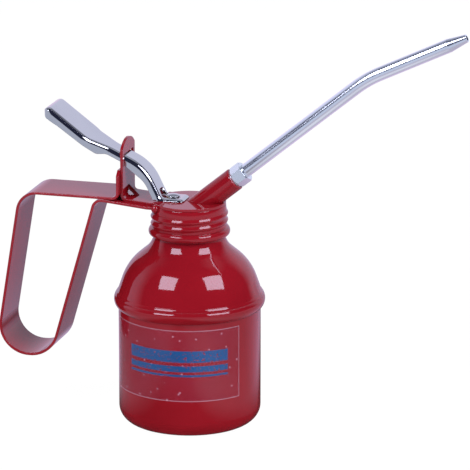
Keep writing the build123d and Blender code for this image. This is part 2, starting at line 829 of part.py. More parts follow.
# Holder brazed on the top plate at the spout's slope, with a rounded mouth for the nut.
with BuildPart() as spout_holder:
    with BuildSketch(spout_plane(-holder_length)):
        Circle(holder_radius)
    extrude(amount=2 * holder_length)
    fillet(spout_holder.edges().sort_by(Axis.X)[-1], holder_mouth_radius)
    with BuildSketch(spout_plane(-holder_length)):
        Circle(holder_bore_radius)
    extrude(amount=3 * holder_length, mode=Mode.SUBTRACT)
    with BuildSketch(Plane.XY.offset(plate_top_z)):
        Rectangle(4 * holder_length, 4 * holder_radius)
    extrude(amount=-2 * holder_length, mode=Mode.SUBTRACT)
finish(spout_holder.part, "spout_holder")

# Delivery valve inside the holder: seat disc and ball.
with BuildPart() as delivery_valve_seat:
    with BuildSketch(spout_plane(delivery_seat_start)):
        Circle(holder_bore_radius)
        Circle(delivery_seat_bore, mode=Mode.SUBTRACT)
    extrude(amount=delivery_seat_length)
    bore_edge = delivery_valve_seat.edges().filter_by(GeomType.CIRCLE).sort_by(SortBy.RADIUS)[:2]
    chamfer(bore_edge.sort_by(Axis.X)[-1], delivery_seat_depth)
finish(delivery_valve_seat.part, "delivery_valve_seat")

delivery_ball_s = (
    delivery_seat_start
    + delivery_seat_length
    - delivery_seat_depth
    + ball_height(delivery_ball_radius, delivery_seat_bore)
)
spout_start = (  # the tube's end inside the holder stops the ball
    delivery_ball_s
    + delivery_ball_lift
    + delivery_ball_gap
    + (delivery_ball_radius**2 - spout_bore_radius**2) ** 0.5
)
with BuildPart() as delivery_valve_ball:
    with Locations(spout_foot + spout_x_dir * delivery_ball_s):
        Sphere(delivery_ball_radius)
finish(delivery_valve_ball.part, "delivery_valve_ball")

# Spout: straight tube, easy bend and a tapered tip.
spout_bend_point = spout_foot + spout_x_dir * spout_straight
tip_dir = Vector(cos(radians(spout_tip_angle)), 0, sin(radians(spout_tip_angle)))
taper_start = spout_bend_point + tip_dir * (spout_tip_length - tip_taper_length)
taper_plane = Plane(origin=taper_start, x_dir=(0, 1, 0), z_dir=tip_dir)
tip_taper = degrees(atan((spout_radius - tip_radius) / tip_taper_length))
with BuildPart() as spout_tube:
    with BuildLine():
        FilletPolyline(
            spout_foot + spout_x_dir * spout_start, spout_bend_point, taper_start, radius=spout_bend_radius
        )
    with BuildSketch(spout_plane(spout_start)):
        Circle(spout_radius)
        Circle(spout_bore_radius, mode=Mode.SUBTRACT)
    sweep()
    with BuildSketch(taper_plane):
        Circle(spout_radius)
    extrude(amount=tip_taper_length, taper=tip_taper)
    with BuildSketch(taper_plane):
        Circle(spout_bore_radius)
    extrude(amount=tip_taper_length, taper=tip_taper, mode=Mode.SUBTRACT)
finish(spout_tube.part, "spout_tube")

# Ferrule and union nut that clamp the spout in the holder.
with BuildPart() as spout_ferrule:
    with BuildSketch(spout_plane(ferrule_start)):
        Circle(holder_bore_radius)
        Circle(spout_radius, mode=Mode.SUBTRACT)
    extrude(amount=ferrule_length)
finish(spout_ferrule.part, "spout_ferrule")

nut_start = holder_length + nut_gap
nut_nose_start = ferrule_start + ferrule_length
# Chamfered blank that rounds the corners of the nut at both ends.
nut_rim_radius = nut_across / 2 + nut_chamfer / tan(radians(nut_chamfer_angle))
with BuildPart() as nut_blank:
    with BuildSketch(spout_plane(nut_start)):
        Circle(nut_rim_radius)
    extrude(amount=nut_length)
    chamfer(
        nut_blank.edges().filter_by(GeomType.CIRCLE),
        length=nut_chamfer,
        length2=nut_chamfer / tan(radians(nut_chamfer_angle)),
    )

with BuildPart() as spout_nut:
    with BuildSketch(spout_plane(nut_start)):
        RegularPolygon(nut_across / 2, 6, major_radius=False, rotation=30)
    extrude(amount=nut_length)
    add(nut_blank.part, mode=Mode.INTERSECT)
    with BuildSketch(spout_plane(nut_nose_start)):
        Circle(holder_bore_radius)
    extrude(amount=nut_start - nut_nose_start)
    with BuildSketch(spout_plane(nut_nose_start)):
        Circle(spout_radius)
    extrude(amount=nut_length + nut_start - nut_nose_start, mode=Mode.SUBTRACT)
finish(spout_nut.part, "spout_nut")
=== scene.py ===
"""Pump oil can: finishes, thread, label film and studio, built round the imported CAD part."""

import logging
from dataclasses import dataclass, field
from enum import Enum
from math import cos, pi, radians, sin
from typing import Any, Optional, Sequence, Union

import bmesh
import bpy
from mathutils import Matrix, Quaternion, Vector


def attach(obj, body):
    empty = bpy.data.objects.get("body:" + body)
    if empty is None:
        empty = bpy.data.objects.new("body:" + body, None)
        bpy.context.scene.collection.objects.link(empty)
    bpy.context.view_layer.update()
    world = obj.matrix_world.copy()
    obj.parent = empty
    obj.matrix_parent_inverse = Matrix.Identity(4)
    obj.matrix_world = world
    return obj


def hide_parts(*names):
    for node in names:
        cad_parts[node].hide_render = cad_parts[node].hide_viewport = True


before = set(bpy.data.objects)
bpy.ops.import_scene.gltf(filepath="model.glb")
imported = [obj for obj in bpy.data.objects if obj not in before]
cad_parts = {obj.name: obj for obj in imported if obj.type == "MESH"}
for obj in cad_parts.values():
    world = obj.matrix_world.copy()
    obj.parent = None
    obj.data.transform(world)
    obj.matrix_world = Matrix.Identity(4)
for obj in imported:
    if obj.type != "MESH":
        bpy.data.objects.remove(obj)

log = logging.getLogger("oil_can")

SAME_POINT = 1e-6  # metres between corners that are merged

Number = Union[int, float]
Colour = tuple[float, float, float]
Ramp = tuple[float, float]


# ---------------------------------------------------------------------------- shader maths


class Wire:
    """A node socket that can be used in ordinary arithmetic."""

    def __init__(self, tree: bpy.types.NodeTree, socket: bpy.types.NodeSocket) -> None:
        """Wrap one output socket.

        Args:
            tree: The tree that the socket belongs to.
            socket: The output socket.
        """
        self.tree = tree
        self.socket = socket

    def math(self, operation: str, *others: Union["Wire", Number], clamp: bool = False) -> "Wire":
        """Send this value and others through a Math node.

        Args:
            operation: The Math node's operation.
            *others: Further operands.
            clamp: Whether the result is held between 0 and 1.

        Returns:
            The node's result.
        """
        node = self.tree.nodes.new("ShaderNodeMath")
        node.operation = operation
        node.use_clamp = clamp
        for slot, value in enumerate((self, *others)):
            if isinstance(value, Wire):
                self.tree.links.new(value.socket, node.inputs[slot])
            else:
                node.inputs[slot].default_value = float(value)
        return Wire(self.tree, node.outputs[0])

    def _from_left(self, operation: str, left: Number) -> "Wire":
        """Send a plain number and this value through a Math node.

        Args:
            operation: The Math node's operation.
            left: The first operand.

        Returns:
            The node's result.
        """
        node = self.tree.nodes.new("ShaderNodeMath")
        node.operation = operation
        node.inputs[0].default_value = float(left)
        self.tree.links.new(self.socket, node.inputs[1])
        return Wire(self.tree, node.outputs[0])

    def __add__(self, other: Union["Wire", Number]) -> "Wire":
        """Sum."""
        return self.math("ADD", other)

    def __radd__(self, other: Number) -> "Wire":
        """Sum with a number on the left."""
        return self.math("ADD", other)

    def __sub__(self, other: Union["Wire", Number]) -> "Wire":
        """Difference."""
        return self.math("SUBTRACT", other)

    def __rsub__(self, other: Number) -> "Wire":
        """Number minus this value."""
        return self._from_left("SUBTRACT", other)

    def __mul__(self, other: Union["Wire", Number]) -> "Wire":
        """Product."""
        return self.math("MULTIPLY", other)

    def __rmul__(self, other: Number) -> "Wire":
        """Product with a number on the left."""
        return self.math("MULTIPLY", other)

    def __truediv__(self, other: Union["Wire", Number]) -> "Wire":
        """Quotient."""
        return self.math("DIVIDE", other)

    def __rtruediv__(self, other: Number) -> "Wire":
        """Number over this value."""
        return self._from_left("DIVIDE", other)

    def __pow__(self, other: Number) -> "Wire":
        """Power."""
        return self.math("POWER", other)

    def step(self, low: Number, high: Number) -> "Wire":
        """Ramp from 0 at low to 1 at high, held outside.

        Args:
            low: Value that gives 0.
            high: Value that gives 1.

        Returns:
            The ramped value.
        """
        return ((self - low) / (high - low)).math("ADD", 0.0, clamp=True)


class Tree:
    """A node tree under construction."""

    def __init__(self, tree: bpy.types.NodeTree) -> None:
        """Take hold of a tree.

        Args:
            tree: The node tree.
        """
        self.tree = tree

    def node(
        self,
        kind: str,
        settings: Optional[dict[str, Any]] = None,
        sockets: Optional[dict[Union[str, int], Any]] = None,
    ) -> bpy.types.Node:
        """Add one node, with its settings first and then its sockets.

        Args:
            kind: The node's type.
            settings: Attributes to set.
            sockets: Values, or wires, by socket name or number.

        Returns:
            The new node.
        """
        made = self.tree.nodes.new(kind)
        for key, value in (settings or {}).items():
            setattr(made, key, value)
        for key, value in (sockets or {}).items():
            self.fill(made.inputs[key], value)
        return made

    def fill(self, socket: bpy.types.NodeSocket, value: Any) -> None:
        """Link a wire to a socket, or set a plain value on it.

        Args:
            socket: The input socket.
            value: A wire, an output socket, a colour or a number.
        """
        if isinstance(value, Wire):
            self.tree.links.new(value.socket, socket)
        elif isinstance(value, bpy.types.NodeSocket):
            self.tree.links.new(value, socket)
        elif isinstance(value, tuple) and socket.type == "RGBA":
            socket.default_value = (*value[:3], 1.0)
        else:
            socket.default_value = value

    def wire(self, node: bpy.types.Node, output: Union[str, int] = 0) -> Wire:
        """One of a node's outputs as a wire.

        Args:
            node: The node.
            output: The output's name or number.

        Returns:
            The wire.
        """
        return Wire(self.tree, node.outputs[output])


class Sheet(Tree):
    """A shader tree of a material or a world."""

    def __init__(self, tree: bpy.types.NodeTree, ending: str) -> None:
        """Empty a tree and add its output.

        Args:
            tree: The tree of a material or a world.
            ending: The output node's type.
        """
        super().__init__(tree)
        self.tree.nodes.clear()
        self.output = self.node(ending)

    def mix(self, share: Union[Wire, Number], first: Any, second: Any) -> Wire:
        """Colour mix.

        Args:
            share: Share of the second colour.
            first: Colour or wire at 0.
            second: Colour or wire at 1.

        Returns:
            The mixed colour.
        """
        node = self.node("ShaderNodeMix", {"data_type": "RGBA"}, {0: share, 6: first, 7: second})
        return self.wire(node, 2)

    def ray(self, *kinds: str) -> Wire:
        """1 for any of the named kinds of ray and 0 for the others.

        Args:
            *kinds: Kinds of ray, such as "Camera" or "Glossy".

        Returns:
            The mask.
        """
        path = self.node("ShaderNodeLightPath")
        mask = self.wire(path, f"Is {kinds[0]} Ray")
        for kind in kinds[1:]:
            mask = mask.math("MAXIMUM", self.wire(path, f"Is {kind} Ray"))
        return mask


class Recipe(Sheet):
    """One material under construction."""

    def __init__(self, name: str) -> None:
        """Start an empty material.

        Args:
            name: The material's name.
        """
        self.material = bpy.data.materials.new(name)
        self.material.use_nodes = True
        super().__init__(self.material.node_tree, "ShaderNodeOutputMaterial")
        self.place = self.wire(self.node("ShaderNodeTexCoord"), "Object")

    def moved(self, turn: Sequence[float] = (0, 0, 0), stretch: Sequence[float] = (1, 1, 1)) -> Wire:
        """Object coordinates, turned and stretched.

        Args:
            turn: Rotation in radians about each axis.
            stretch: Scale along each axis, after the turn.

        Returns:
            The coordinates.
        """
        turned = self.node("ShaderNodeVectorRotate", {"rotation_type": "EULER_XYZ"}, {"Vector": self.place})
        turned.inputs["Rotation"].default_value = tuple(turn)
        pulled = self.node(
            "ShaderNodeVectorMath",
            {"operation": "MULTIPLY"},
            {0: self.wire(turned), 1: tuple(stretch)},
        )
        return self.wire(pulled)

    def noise(
        self,
        scale: float,
        detail: float = 3.0,
        place: Optional[Wire] = None,
        rough: float = 0.5,
    ) -> Wire:
        """Noise between 0 and 1.

        Args:
            scale: Features per metre.
            detail: Octaves.
            place: Coordinates, the object's own by default.
            rough: Strength of the finer octaves.

        Returns:
            The noise value.
        """
        node = self.node(
            "ShaderNodeTexNoise",
            {"noise_dimensions": "3D"},
            {"Vector": place or self.place, "Scale": scale, "Detail": detail, "Roughness": rough},
        )
        return self.wire(node, "Fac")

    def specks(self, scale: float, size: float) -> Wire:
        """Scattered round specks, 1 inside and 0 outside.

        Args:
            scale: Cells per metre.
            size: Speck radius in cells.

        Returns:
            The mask.
        """
        cell = self.node(
            "ShaderNodeTexVoronoi",
            {"feature": "F1"},
            {"Vector": self.place, "Scale": scale, "Randomness": 1.0},
        )
        return 1.0 - self.wire(cell, "Distance").step(size * 0.6, size)

    def edges(self, radius: float, width: float) -> Wire:
        """Mask of outside edges, where the rounded normal leaves the flat one.

        Args:
            radius: Rounding radius in metres.
            width: How far the normal has to turn for full strength.

        Returns:
            The mask.
        """
        soft = self.node("ShaderNodeBevel", {"samples": 6}, {"Radius": radius})
        flat = self.node("ShaderNodeNewGeometry")
        turn = self.node(
            "ShaderNodeVectorMath",
            {"operation": "DOT_PRODUCT"},
            {0: soft.outputs[0], 1: flat.outputs["Normal"]},
        )
        return (1.0 - self.wire(turn, "Value")).step(0.01, width)

    def bump(self, height: Wire, depth: float, strength: float = 1.0, soft_radius: float = 0.0) -> Wire:
        """Normal from a height.

        Args:
            height: Height between 0 and 1.
            depth: Depth in metres of a height of 1.
            strength: Strength of the effect.
            soft_radius: Radius in metres by which edges are softened first, or 0.

        Returns:
            The normal.
        """
        node = self.node("ShaderNodeBump", {}, {"Height": height, "Distance": depth, "Strength": strength})
        if soft_radius:
            soft = self.node("ShaderNodeBevel", {"samples": 6}, {"Radius": soft_radius})
            self.tree.links.new(soft.outputs[0], node.inputs["Normal"])
        return self.wire(node)

    def surface(self, **sockets: Any) -> bpy.types.Material:
        """Finish the material with a Principled shader.

        Args:
            **sockets: Socket values by name, with underscores for spaces.

        Returns:
            The material.
        """
        names = {key.replace("_", " "): value for key, value in sockets.items()}
        shader = self.node("ShaderNodeBsdfPrincipled", {}, names)
        self.tree.links.new(shader.outputs[0], self.output.inputs["Surface"])
        return self.material


# ---------------------------------------------------------------------------- finishes


@dataclass(frozen=True)
class RedEnamel:
    """Glossy stoved enamel over pressed tinplate."""

    name: str = "red_enamel"
    deep: Colour = (0.252, 0.0052, 0.0098)
    bright: Colour = (0.300, 0.0072, 0.0128)
    worn: Colour = (0.34, 0.02, 0.03)
    dust: Colour = (0.40, 0.09, 0.10)
    gloss: float = 0.05
    cloud_scale: float = 28.0
    wear_radius: float = 0.0005
    wear_turn: float = 0.14
    wear_scale: float = 240.0
    dust_scale: float = 420.0
    dust_size: float = 0.10
    dust_patch_scale: float = 60.0
    peel_scale: float = 520.0
    flow_scale: float = 90.0
    peel_depth: float = 0.000022
    soft_radius: float = 0.0004
    groove_height: float = 0.0
    groove_width: float = 0.0019
    groove_depth: float = 48.0

    def make(self) -> bpy.types.Material:
        """Build the material.

        Returns:
            The enamel.
        """
        r = Recipe(self.name)
        cloud = r.noise(self.cloud_scale, 3.0).step(0.3, 0.7)
        rim = r.edges(self.wear_radius, self.wear_turn) * r.noise(self.wear_scale, 4.0).step(0.42, 0.62)
        patches = r.specks(self.dust_scale, self.dust_size)
        dust = patches * r.noise(self.dust_patch_scale, 2.0).step(0.5, 0.65)
        colour = r.mix(cloud, self.deep, self.bright)
        colour = r.mix(rim * 0.5, colour, self.worn)
        colour = r.mix(dust * 0.35, colour, self.dust)
        peel = r.noise(self.peel_scale, 2.0) * 0.8 + r.noise(self.flow_scale, 2.0) * 2.4
        if self.groove_height:
            height = r.wire(r.node("ShaderNodeSeparateXYZ", {}, {0: r.place}), "Z")
            off_middle = ((height - self.groove_height) / self.groove_width).math("ABSOLUTE")
            groove = 1.0 - off_middle.step(0.0, 1.0)
            peel = peel - groove * groove * self.groove_depth
        return r.surface(
            Base_Color=colour,
            Roughness=self.gloss + cloud * 0.02 + dust * 0.2 + rim * 0.15,
            Normal=r.bump(peel, self.peel_depth, 0.5, self.soft_radius),
        )


@dataclass(frozen=True)
class LabelFilm:
    """Thin clear film with a plain printed band, stuck round the cup."""

    name: str = "label_film"
    clear: Colour = (0.46, 0.07, 0.12)
    rim: Colour = (0.66, 0.30, 0.36)
    ink: Colour = (0.002, 0.075, 0.225)
    radius: float = 0.0368
    low: float = 0.0204
    high: float = 0.0582
    start: float = radians(-152.6)
    end: float = radians(-30.6)
    bars: tuple[tuple[float, float], ...] = ((0.0412, 0.0474), (0.0362, 0.0394), (0.0336, 0.0348))
    bar_start: float = radians(-128.0)
    bar_end: float = radians(-42.0)
    print_blur: float = 0.00018
    border: float = 0.0005
    border_turn: float = 0.012
    worn_scale: float = 900.0
    bubble_scale: float = 240.0
    bubble_size: float = 0.16
    bubble_patch_scale: float = 70.0
    haze_scale: float = 40.0
    ripple_scale: float = 160.0
    ripple_depth: float = 0.00008
    most_cover: float = 0.96

    def inside(self, value: Wire, low: float, high: float, soft: float) -> Wire:
        """Mask of what lies between two limits, with soft ends.

        Args:
            value: The value to look at.
            low: Lower limit.
            high: Upper limit.
            soft: Half the width of each soft end.

        Returns:
            1 between the limits and 0 outside.
        """
        return value.step(low - soft, low + soft) * (1.0 - value.step(high - soft, high + soft))

    def make(self) -> bpy.types.Material:
        """Build the material.

        Returns:
            The film.
        """
        r = Recipe(self.name)
        split = r.node("ShaderNodeSeparateXYZ", {}, {0: r.place})
        height = r.wire(split, "Z")
        angle = r.wire(split, "Y").math("ARCTAN2", r.wire(split, "X"))
        soft = self.print_blur
        turn = soft / self.radius
        ink = self.inside(height, *self.bars[0], soft)
        for bar in self.bars[1:]:
            ink = ink + self.inside(height, *bar, soft)
        ink = ink * self.inside(angle, self.bar_start, self.bar_end, turn)
        worn = r.noise(self.worn_scale, 4.0).step(0.30, 0.42)
        field_z = self.inside(height, self.low + self.border, self.high - self.border, soft)
        field_a = self.inside(angle, self.start + self.border_turn, self.end - self.border_turn, turn)
        rim = 1.0 - field_z * field_a
        bubbles = r.specks(self.bubble_scale, self.bubble_size)
        blobs = bubbles * r.noise(self.bubble_patch_scale).step(0.30, 0.40)
        haze = r.noise(self.haze_scale, 4.0).step(0.35, 0.75)
        colour = r.mix(rim + blobs * 0.8, self.clear, self.rim)
        colour = r.mix(ink * worn, colour, self.ink)
        alpha = 0.10 + haze * 0.10 + rim * 0.40 + blobs * 0.60 + ink * worn * 0.84
        return r.surface(
            Base_Color=colour,
            Alpha=alpha.math("MINIMUM", self.most_cover),
            Roughness=0.24 + haze * 0.1 + blobs * 0.2,
            Normal=r.bump(blobs * 0.8 + r.noise(self.ripple_scale, 2.0) * 1.4, self.ripple_depth, 0.6),
            Coat_Weight=0.4,
            Coat_Roughness=0.08,
        )


@dataclass(frozen=True)
class BrightMetal:
    """Plated, drawn or polished metal with a grain along one direction."""

    name: str
    colour: Colour
    dull: Colour
    roughness: float
    grain_turn: float = 0.0
    grain: float = 0.35
    scratch_depth: float = 0.000003
    soft_radius: float = 0.00025
    rim: Colour = (0.80, 0.80, 0.82)
    stretch: tuple[float, float, float] = (30.0, 900.0, 900.0)
    blotch_scale: float = 60.0
    rim_radius: float = 0.0004
    rim_turn: float = 0.16
    spot_scale: float = 700.0
    spot_size: float = 0.07
    spot_patch_scale: float = 110.0

    def make(self) -> bpy.types.Material:
        """Build the material.

        Returns:
            The metal.
        """
        r = Recipe(self.name)
        along = r.moved((0.0, self.grain_turn, 0.0), self.stretch)
        lines = r.noise(1.0, 4.0, along, 0.6)
        blotch = r.noise(self.blotch_scale, 4.0).step(0.35, 0.7)
        rim = r.edges(self.rim_radius, self.rim_turn)
        spots = r.specks(self.spot_scale, self.spot_size) * r.noise(self.spot_patch_scale).step(0.58, 0.70)
        colour = r.mix(blotch * self.grain + spots * 0.3, self.colour, self.dull)
        colour = r.mix(rim * 0.2, colour, self.rim)
        return r.surface(
            Base_Color=colour,
            Metallic=1.0,
            Roughness=self.roughness + lines * self.grain * 0.22 + spots * 0.25 + blotch * 0.04,
            Normal=r.bump(lines + spots * 1.5, self.scratch_depth, 0.8, self.soft_radius),
        )


@dataclass(frozen=True)
class TurnedBrass:
    """Turned brass with fine tool rings and a little tarnish."""

    name: str = "turned_brass"
    colour: Colour = (0.76, 0.52, 0.20)
    tarnish: Colour = (0.42, 0.25, 0.08)
    ring_stretch: tuple[float, float, float] = (40.0, 40.0, 2600.0)
    stain_scale: float = 130.0
    ring_depth: float = 0.000012
    soft_radius: float = 0.0002

    def make(self) -> bpy.types.Material:
        """Build the material.

        Returns:
            The brass.
        """
        r = Recipe(self.name)
        rings = r.noise(1.0, 3.0, r.moved(stretch=self.ring_stretch))
        stain = r.noise(self.stain_scale, 5.0).step(0.4, 0.72)
        colour = r.mix(stain * 0.55, self.colour, self.tarnish)
        return r.surface(
            Base_Color=colour,
            Metallic=1.0,
            Roughness=0.24 + rings * 0.14 + stain * 0.16,
            Normal=r.bump(rings, self.ring_depth, 0.8, self.soft_radius),
        )


class SoftKind(Enum):
    """The soft materials inside the pump and under the cap."""

    RUBBER = "seal_rubber"
    LEATHER = "pump_leather"
    CORD = "packing_cord"


@dataclass(frozen=True)
class SoftSeal:
    """Rubber, leather or greased cord."""

    kind: SoftKind
    colour: Colour
    light: Colour
    grain_scale: float
    depth: float
    roughness: float

    def make(self) -> bpy.types.Material:
        """Build the material.

        Returns:
            The seal's material.
        """
        r = Recipe(self.kind.value)
        grain = r.noise(self.grain_scale, 6.0, rough=0.65)
        colour = r.mix(grain.step(0.35, 0.7), self.colour, self.light)
        return r.surface(
            Base_Color=colour,
            Roughness=self.roughness + grain * 0.2,
            Normal=r.bump(grain, self.depth, 0.9),
        )


# ---------------------------------------------------------------------------- geometry helpers


def add_object(name: str, mesh: bpy.types.Mesh) -> bpy.types.Object:
    """Put a mesh into the scene, smooth shaded, at the origin.

    Args:
        name: The object's name.
        mesh: Its mesh.

    Returns:
        The object.
    """
    piece = bpy.data.objects.new(name, mesh)
    bpy.context.scene.collection.objects.link(piece)
    for polygon in mesh.polygons:
        polygon.use_smooth = True
    return piece


def add_mesh(
    name: str,
    points: Sequence[Sequence[float]],
    faces: Sequence[Sequence[int]],
) -> bpy.types.Object:
    """Make an object at the origin from points and faces.

    Args:
        name: The object's name.
        points: Corners in metres.
        faces: Corner numbers of each face.

    Returns:
        The object, smooth shaded.
    """
    mesh = bpy.data.meshes.new(name)
    mesh.from_pydata([tuple(p) for p in points], [], [tuple(f) for f in faces])
    mesh.update()
    return add_object(name, mesh)


def face_outwards(piece: bpy.types.Object) -> None:
    """Merge doubles and turn all faces of a closed piece outwards.

    Args:
        piece: The piece to tidy.
    """
    grid = bmesh.new()
    grid.from_mesh(piece.data)
    bmesh.ops.remove_doubles(grid, verts=grid.verts, dist=SAME_POINT)
    bmesh.ops.recalc_face_normals(grid, faces=grid.faces)
    grid.to_mesh(piece.data)
    grid.free()


class Sockets(Tree):
    """A Geometry Nodes tree with named sizes as its inputs."""

    def __init__(self, name: str) -> None:
        """Start a tree with a geometry input and output.

        Args:
            name: The tree's name.
        """
        super().__init__(bpy.data.node_groups.new(name, "GeometryNodeTree"))
        for way in ("INPUT", "OUTPUT"):
            self.tree.interface.new_socket("Geometry", in_out=way, socket_type="NodeSocketGeometry")
        self.entry = self.node("NodeGroupInput")
        self.exit = self.node("NodeGroupOutput")
        self.values: dict[str, float] = {}

    def size(self, name: str, value: float, whole: bool = False) -> Wire:
        """Add a named size.

        Args:
            name: The input's name.
            value: Its value.
            whole: Whether it is a whole number.

        Returns:
            The input as a wire.
        """
        kind = "NodeSocketInt" if whole else "NodeSocketFloat"
        socket = self.tree.interface.new_socket(name, in_out="INPUT", socket_type=kind)
        socket.default_value = int(value) if whole else value
        self.values[socket.identifier] = int(value) if whole else value
        return Wire(self.tree, self.entry.outputs[name])

    def build(
        self,
        name: str,
        geometry: bpy.types.NodeSocket,
        material: bpy.types.Material,
    ) -> bpy.types.Object:
        """Run the tree once and keep its result as a plain mesh.

        Args:
            name: The piece's name.
            geometry: The finished geometry.
            material: The material for all of it.

        Returns:
            The piece.
        """
        real = self.node("GeometryNodeRealizeInstances", {}, {"Geometry": geometry})
        dressed = self.node(
            "GeometryNodeSetMaterial", {}, {"Geometry": real.outputs[0], "Material": material}
        )
        self.tree.links.new(dressed.outputs[0], self.exit.inputs[0])
        seed = add_mesh(name + "_seed", [(0, 0, 0)], [])
        modifier = seed.modifiers.new("build", "NODES")
        modifier.node_group = self.tree
        for identifier, value in self.values.items():
            modifier[identifier] = value
        depsgraph = bpy.context.evaluated_depsgraph_get()
        mesh = bpy.data.meshes.new_from_object(seed.evaluated_get(depsgraph))
        bpy.data.objects.remove(seed)
        return add_object(name, mesh)


# ---------------------------------------------------------------------------- the can's own pieces


@dataclass
class Finishes:
    """Every material of the can, made once."""

    enamel: bpy.types.Material = field(default_factory=lambda: RedEnamel().make())
    seamed: bpy.types.Material = field(
        default_factory=lambda: RedEnamel("red_enamel_seam", groove_height=0.0678).make()
    )
    film: bpy.types.Material = field(default_factory=lambda: LabelFilm().make())
    plated: bpy.types.Material = field(
        default_factory=lambda: BrightMetal(
            name="lever_plate",
            colour=(0.66, 0.64, 0.63),
            dull=(0.50, 0.48, 0.50),
            roughness=0.05,
            grain_turn=radians(-28),
            grain=0.2,
            scratch_depth=0.000002,
        ).make()
    )
    zinc: bpy.types.Material = field(
        default_factory=lambda: BrightMetal(
            name="zinc_plate",
            colour=(0.95, 0.98, 0.99),
            dull=(0.82, 0.86, 0.88),
            roughness=0.24,
            grain=0.3,
        ).make()
    )
    tube: bpy.types.Material = field(
        default_factory=lambda: BrightMetal(
            name="spout_steel",
            colour=(0.94, 0.96, 0.99),
            dull=(0.84, 0.86, 0.91),
            roughness=0.14,
            grain_turn=radians(39.4),
            grain=0.3,
            scratch_depth=0.0000004,
            soft_radius=0.0,
        ).make()
    )
    spring: bpy.types.Material = field(
        default_factory=lambda: BrightMetal(
            name="spring_wire",
            colour=(0.34, 0.33, 0.33),
            dull=(0.20, 0.19, 0.18),
            roughness=0.3,
            grain=0.5,
        ).make()
    )
    ball: bpy.types.Material = field(
        default_factory=lambda: BrightMetal(
            name="ball_steel",
            colour=(0.70, 0.70, 0.71),
            dull=(0.50, 0.50, 0.50),
            roughness=0.05,
            grain=0.15,
        ).make()
    )
    brass: bpy.types.Material = field(default_factory=lambda: TurnedBrass().make())
    rubber: bpy.types.Material = field(
        default_factory=lambda: SoftSeal(
            kind=SoftKind.RUBBER,
            colour=(0.018, 0.018, 0.018),
            light=(0.05, 0.05, 0.05),
            grain_scale=500.0,
            depth=0.00003,
            roughness=0.6,
        ).make()
    )
    leather: bpy.types.Material = field(
        default_factory=lambda: SoftSeal(
            kind=SoftKind.LEATHER,
            colour=(0.10, 0.045, 0.02),
            light=(0.24, 0.13, 0.06),
            grain_scale=1400.0,
            depth=0.00006,
            roughness=0.5,
        ).make()
    )
    cord: bpy.types.Material = field(
        default_factory=lambda: SoftSeal(
            kind=SoftKind.CORD,
            colour=(0.26, 0.20, 0.13),
            light=(0.48, 0.41, 0.30),
            grain_scale=2200.0,
            depth=0.00012,
            roughness=0.7,
        ).make()
    )

    def dress(self) -> int:
        """Give every CAD node its material.

        Returns:
            How many nodes were dressed.
        """
        table = {
            self.enamel: (
                "body_cup",
                "screw_cap",
                "top_plate",
                "handle_strap",
                "braze_beads",
                "spout_holder",
            ),
            self.seamed: ("shoulder",),
            self.plated: ("lever", "pump_rod"),
            self.zinc: ("spout_nut", "piston_nut", "ball_stop_pin"),
            self.tube: ("spout_tube",),
            self.spring: ("return_spring",),
            self.ball: ("foot_valve_ball", "delivery_valve_ball"),
            self.rubber: ("cap_gasket",),
            self.leather: ("piston_cup",),
            self.cord: ("rod_packing",),
            self.brass: (
                "piston",
                "gland_screw",
                "pump_head",
                "pump_barrel",
                "foot_valve_seat",
                "suction_tube",
                "strainer",
                "delivery_tube",
                "spout_ferrule",
                "delivery_valve_seat",
            ),
        }
        count = 0
        for material, names in table.items():
            for name in names:
                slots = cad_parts[name].data.materials
                slots.clear()
                slots.append(material)
                count += 1
        return count


